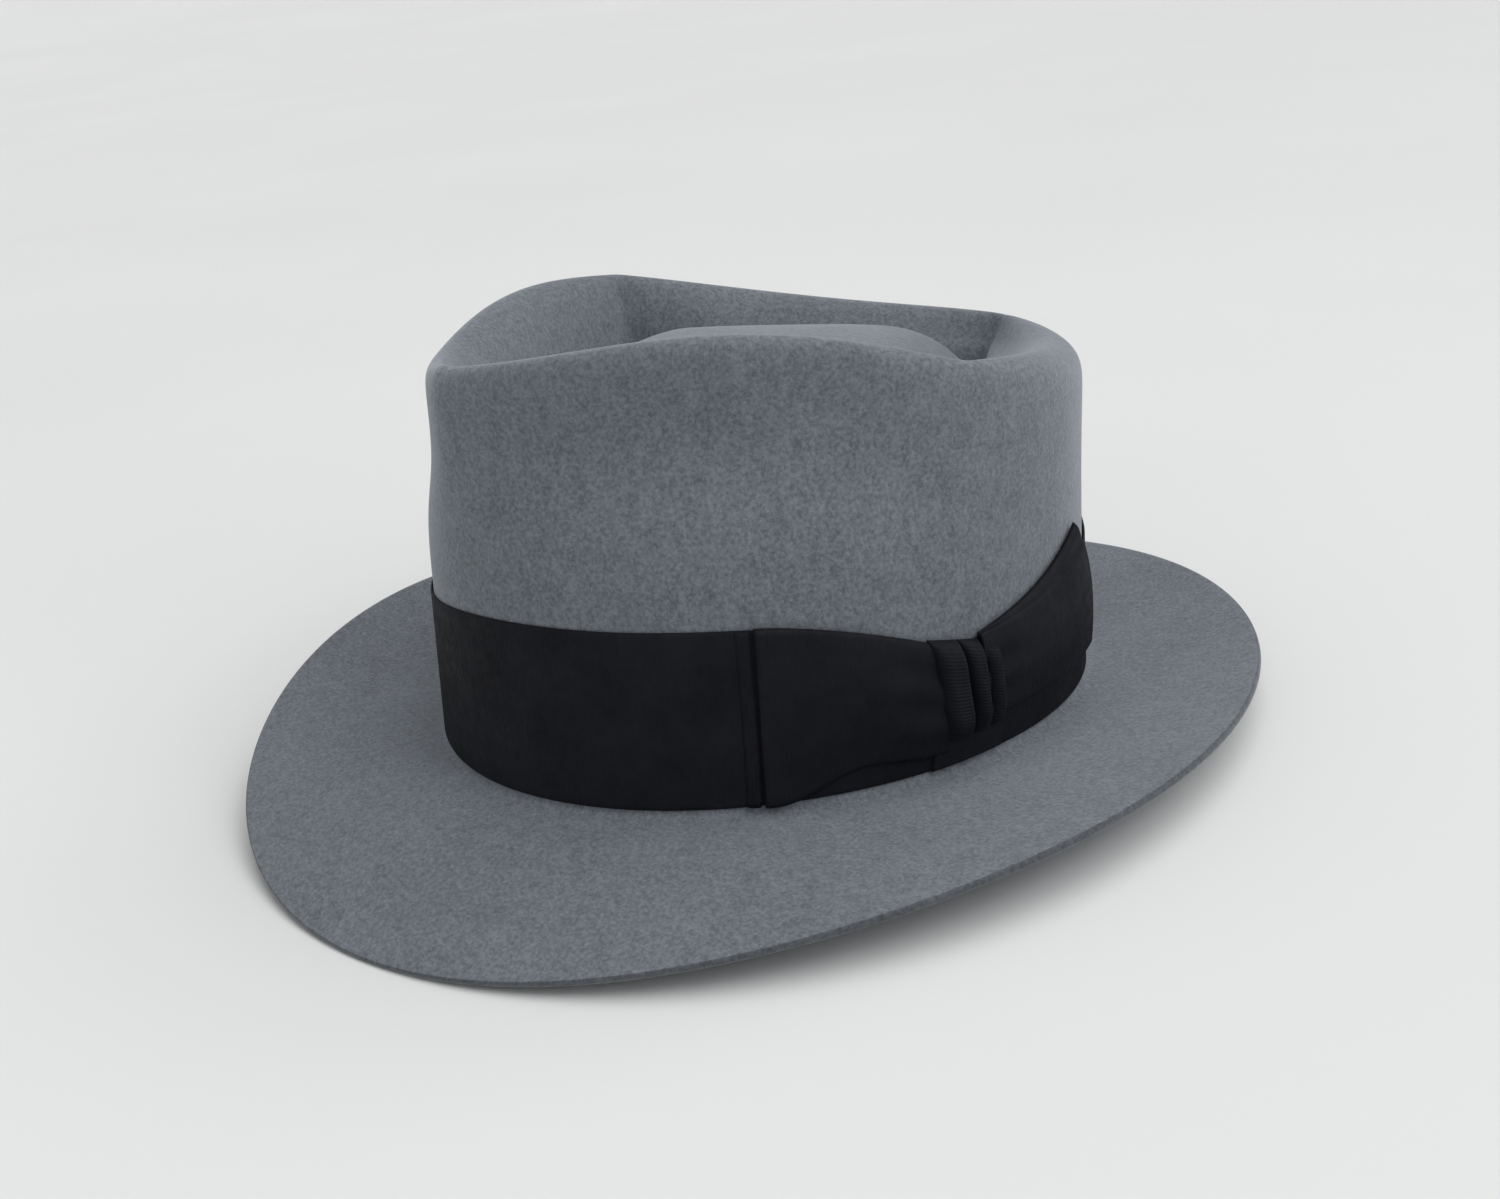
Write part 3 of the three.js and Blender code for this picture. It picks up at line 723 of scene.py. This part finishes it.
def spaced(low, high, count):
    """Heights from low to high, with close rows at both ends for the rounded edges."""
    body = np.linspace(low + 0.8, high - 0.8, count)
    return np.concatenate([[low, low + 0.12, low + 0.4], body, [high - 0.4, high - 0.12, high]])


def stitch_row(name, theta_step, z_of, outset, length, material):
    """A row of short raised thread stitches round the sweatband, as one piece."""
    vertices, faces = [], []
    sides, rings = 6, 5
    for theta in np.arange(0, 2 * np.pi, theta_step):
        middle = on_oval(np.array(theta), outset - wall_inset(theta, z_of), z_of)
        ahead = on_oval(np.array(theta + 0.01), outset, z_of) - on_oval(np.array(theta), outset, z_of)
        ahead /= np.linalg.norm(ahead)
        inward = -(on_oval(np.array(theta), 1.0, 0) - on_oval(np.array(theta), 0.0, 0))
        up = np.array([0, 0, 1.0])
        start = len(vertices)
        for ring in range(rings):
            t = ring / (rings - 1)
            radius = 0.05 + 0.17 * math.sin(math.pi * t) ** 0.5
            centre = middle + ahead * (t - 0.5) * length + inward * 0.12 * math.sin(math.pi * t)
            for side in range(sides):
                angle = 2 * math.pi * side / sides
                vertices.append(centre + radius * (math.cos(angle) * up + math.sin(angle) * inward))
        for ring in range(rings - 1):
            for side in range(sides):
                a = start + ring * sides + side
                b = start + ring * sides + (side + 1) % sides
                faces.append((a, b, b + sides, a + sides))
        for cap in (start, start + (rings - 1) * sides):
            order = [cap + k for k in range(sides)]
            flip = 1 if cap == start else -1
            faces.append(tuple([order[0], order[3], order[2], order[1]][::flip]))
            faces.append(tuple([order[0], order[5], order[4], order[3]][::flip]))
    piece = add_mesh(name, placed(np.array(vertices)), faces, material)


def make_sweatband():
    wave = 0.18 * np.sin(THETA * 23 + 1.3 * np.sin(THETA * 5))
    heights = spaced(LEATHER_FOOT, LEATHER_TOP, 22)
    fade = (smooth((heights - 30) / 19)[:, None]) * wave
    band = wall_ring("sweatband_skin", heights, LEATHER_IN + fade, LEATHER_OUT + fade, LEATHER_LOOK)
    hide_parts("sweatband")
    tape = wall_ring("reed_strip", spaced(0.2, 2.9, 5), LEATHER_OUT - 1.5, LEATHER_OUT, TAPE)
    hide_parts("sweatband_reed")
    for row, z in enumerate((4.6, 6.4)):
        stitch_row(f"sweatband_stitches_{row + 1}", 0.026, z, LEATHER_IN - 0.02, 1.7, THREAD)


def make_lining_side():
    low = spaced(LINING_FOOT, SLACK_START, 14)[:-3]
    heights = np.concatenate([low, np.linspace(SLACK_START, LINING_SHOULDER, 10)])
    slack = LINING_SLACK * smooth((heights - SLACK_START) / (LINING_SHOULDER - SLACK_START))[:, None]
    loose = smooth((heights - 48) / 20)[:, None]
    gathers = 0.5 * np.sin(THETA * 46 + 2 * np.sin(THETA * 7)) * loose
    z = heights[:, None] + 0 * THETA
    outset = LINING_OUT - slack + gathers - 0.5 * loose - wall_inset(THETA, z)
    wall = on_oval(THETA[None], outset, z)
    share = np.linspace(0, 1, 14)[1:, None, None]
    rim = on_oval(THETA) * (LINING_SCALE + 0.02)
    rim[..., 2] = LINING_TOP
    fold = lerp(wall[-1][None], rim[None], share)
    rise = rim[None, :, 2] - wall[-1][None, :, 2]
    fold[..., 2] = wall[-1][None, :, 2] + rise * np.sin(share[..., 0] * np.pi / 2)
    outer = np.concatenate([wall, fold])
    inner = np.concatenate([on_oval(THETA[None], outset - LINING, z), fold - np.array([0, 0, LINING])])
    side = ring_piece("lining_side_cloth", np.concatenate([outer, inner[::-1]]), SATIN)
    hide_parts("lining_side")


def make_lining_tip():
    share = np.linspace(0, 1, 26)[:, None]
    base = on_oval(THETA)[None] * (LINING_SCALE * share[..., None])
    pucker = 0.35 * np.sin(THETA * 40 + 3 * np.sin(THETA * 3)) * share**6
    base[..., 2] = LINING_TOP + LINING_DOME * (1 - share**2) + 0 * THETA
    under = base.copy()
    under[..., 2] -= LINING + 0.2 * pucker
    section = np.concatenate([base, under[::-1]])
    faces = grid_faces(*section.shape[:2], False, True)
    tip = add_mesh("lining_tip_cloth", placed(section).reshape(-1, 3), faces, SATIN, True)
    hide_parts("lining_tip")


def make_piping():
    angles = np.linspace(0, 2 * np.pi, 12, endpoint=False)[:, None]
    centre = on_oval(THETA) * (LINING_SCALE + 0.01)
    away = centre / np.linalg.norm(centre, axis=1, keepdims=True)
    twist = PIPING_RADIUS + 0.08 * np.sin(THETA * 300 + angles)
    section = centre[None] + away[None] * (np.cos(angles) * twist)[..., None]
    section[..., 2] = LINING_TOP - LINING - GAP - PIPING_RADIUS + np.sin(angles) * twist
    cord = ring_piece("lining_piping_cord", section, SATIN)
    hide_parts("lining_piping")


def back_patch(name, width, spans, inner, outer, material, node, theta_middle=math.pi, half=None):
    """A small flat trim on the sweatband: width in millimetres, spans its lowest and highest z."""
    u = np.linspace(-1, 1, 48)[None]
    v = np.linspace(0, 1, 30)[:, None]
    theta = theta_middle + u * width / 2 / HALF_WIDTH
    reach = half(u) if half else 1.0
    centre, tall = sum(spans) / 2, (spans[1] - spans[0]) / 2
    z = centre + tall * reach * (2 * v - 1) + 0 * u
    edge = rolled((1 - np.abs(u)) * width / 2, 0.5) * rolled(np.minimum(v, 1 - v) * 2 * tall, 0.4)
    face = outer + (inner - outer) * np.maximum(edge, 0.15)
    front = on_oval(theta + 0 * v, face - wall_inset(theta, z), z)
    rear = on_oval(theta + 0 * v, outer - wall_inset(theta, z) + 0 * z, z)
    piece = slab_piece(name, front, rear, material)
    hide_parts(node)


def make_trims():
    tape_out = LEATHER_IN - GAP
    tape_in = tape_out - TAPE_THICKNESS
    back_patch("seam_tape_strip", 11, (LEATHER_FOOT + 1, 44), tape_in, tape_out, LEATHER_LOOK,
               "sweatband_seam_tape")
    bow_out = tape_in - GAP

    def pinch(u):
        return lerp(0.38, 1.0, smooth(np.abs(u) * 1.4))

    back_patch("sweatband_bow_loops", 24, (5.8, 14.2), bow_out - 1.5, bow_out, GROSGRAIN,
               "sweatband_bow", half=pinch)
    back_patch("blank_size_label", 16, (20, 32), tape_out - 0.5, tape_out, LABEL,
               "size_label", theta_middle=math.radians(LABEL_ANGLE))


make_sweatband()
make_lining_side()
make_lining_tip()
make_piping()
make_trims()

# ---------------------------------------------------------------- stage


def make_camera():
    """The camera looks at a point of the level hat, so it is leaned and moved with the hat."""
    az, el, roll = (math.radians(a) for a in (VIEW_AZIMUTH, VIEW_ELEVATION, VIEW_ROLL))
    back = np.array([math.sin(az) * math.cos(el), -math.cos(az) * math.cos(el), math.sin(el)])
    right = np.array([math.cos(az), math.sin(az), 0])
    up = np.cross(back, right)
    eye = VIEW_TARGET + back * VIEW_DISTANCE
    x_axis = math.cos(roll) * right + math.sin(roll) * up
    y_axis = -math.sin(roll) * right + math.cos(roll) * up
    axes = [lean(a) for a in (x_axis, y_axis, back)]
    where = (lean(eye) + OFFSET) * MM
    data = bpy.data.cameras.new("camera")
    data.lens = LENS
    data.sensor_width = 36.0
    data.clip_start, data.clip_end = 0.01, 100.0
    camera = bpy.data.objects.new("camera", data)
    bpy.context.scene.collection.objects.link(camera)
    matrix = np.eye(4)
    matrix[:3, :3] = np.array(axes).T
    matrix[:3, 3] = where
    camera.matrix_world = Matrix(matrix.tolist())
    bpy.context.scene.camera = camera


def area_light(name, where, target, size, power, colour):
    data = bpy.data.lights.new(name, "AREA")
    data.shape = "DISK"
    data.size = size
    data.energy = power
    data.color = colour
    light = bpy.data.objects.new(name, data)
    bpy.context.scene.collection.objects.link(light)
    light.location = where
    direction = Vector(target) - Vector(where)
    light.rotation_euler = direction.to_track_quat("-Z", "Y").to_euler()


def make_floor():
    radius = np.array(FLOOR_RADII)[:, None]
    turn = np.linspace(0, 2 * np.pi, 96, endpoint=False)[None]
    rise = FLOOR_RISE * np.maximum(radius - FLOOR_FLAT, 0) ** 2 + 0 * turn
    sweep = np.stack([radius * np.cos(turn), radius * np.sin(turn), rise], -1).reshape(-1, 3)
    faces = grid_faces(radius.size, turn.size, False, True)
    floor = add_mesh("floor", sweep, faces, floor_material(), True)


def make_lights():
    sun = bpy.data.lights.new("key", "SUN")
    sun.energy = 2.25
    sun.angle = math.radians(75)
    sun.color = (1.0, 0.99, 0.975)
    key = bpy.data.objects.new("key", sun)
    bpy.context.scene.collection.objects.link(key)
    key.rotation_euler = Vector(KEY_DIRECTION).to_track_quat("-Z", "Y").to_euler()
    area_light("fill", (1.1, 0.3, 0.8), (0, 0, 0.06), 0.8, 3, (0.95, 0.97, 1.0))
    world = bpy.data.worlds.new("studio")
    bpy.context.scene.world = world
    world.use_nodes = True
    background = world.node_tree.nodes["Background"]
    background.inputs["Color"].default_value = (0.93, 0.965, 1.0, 1)
    background.inputs["Strength"].default_value = 0.37
    bpy.context.scene.view_settings.view_transform = "Standard"


make_camera()
make_floor()
make_lights()
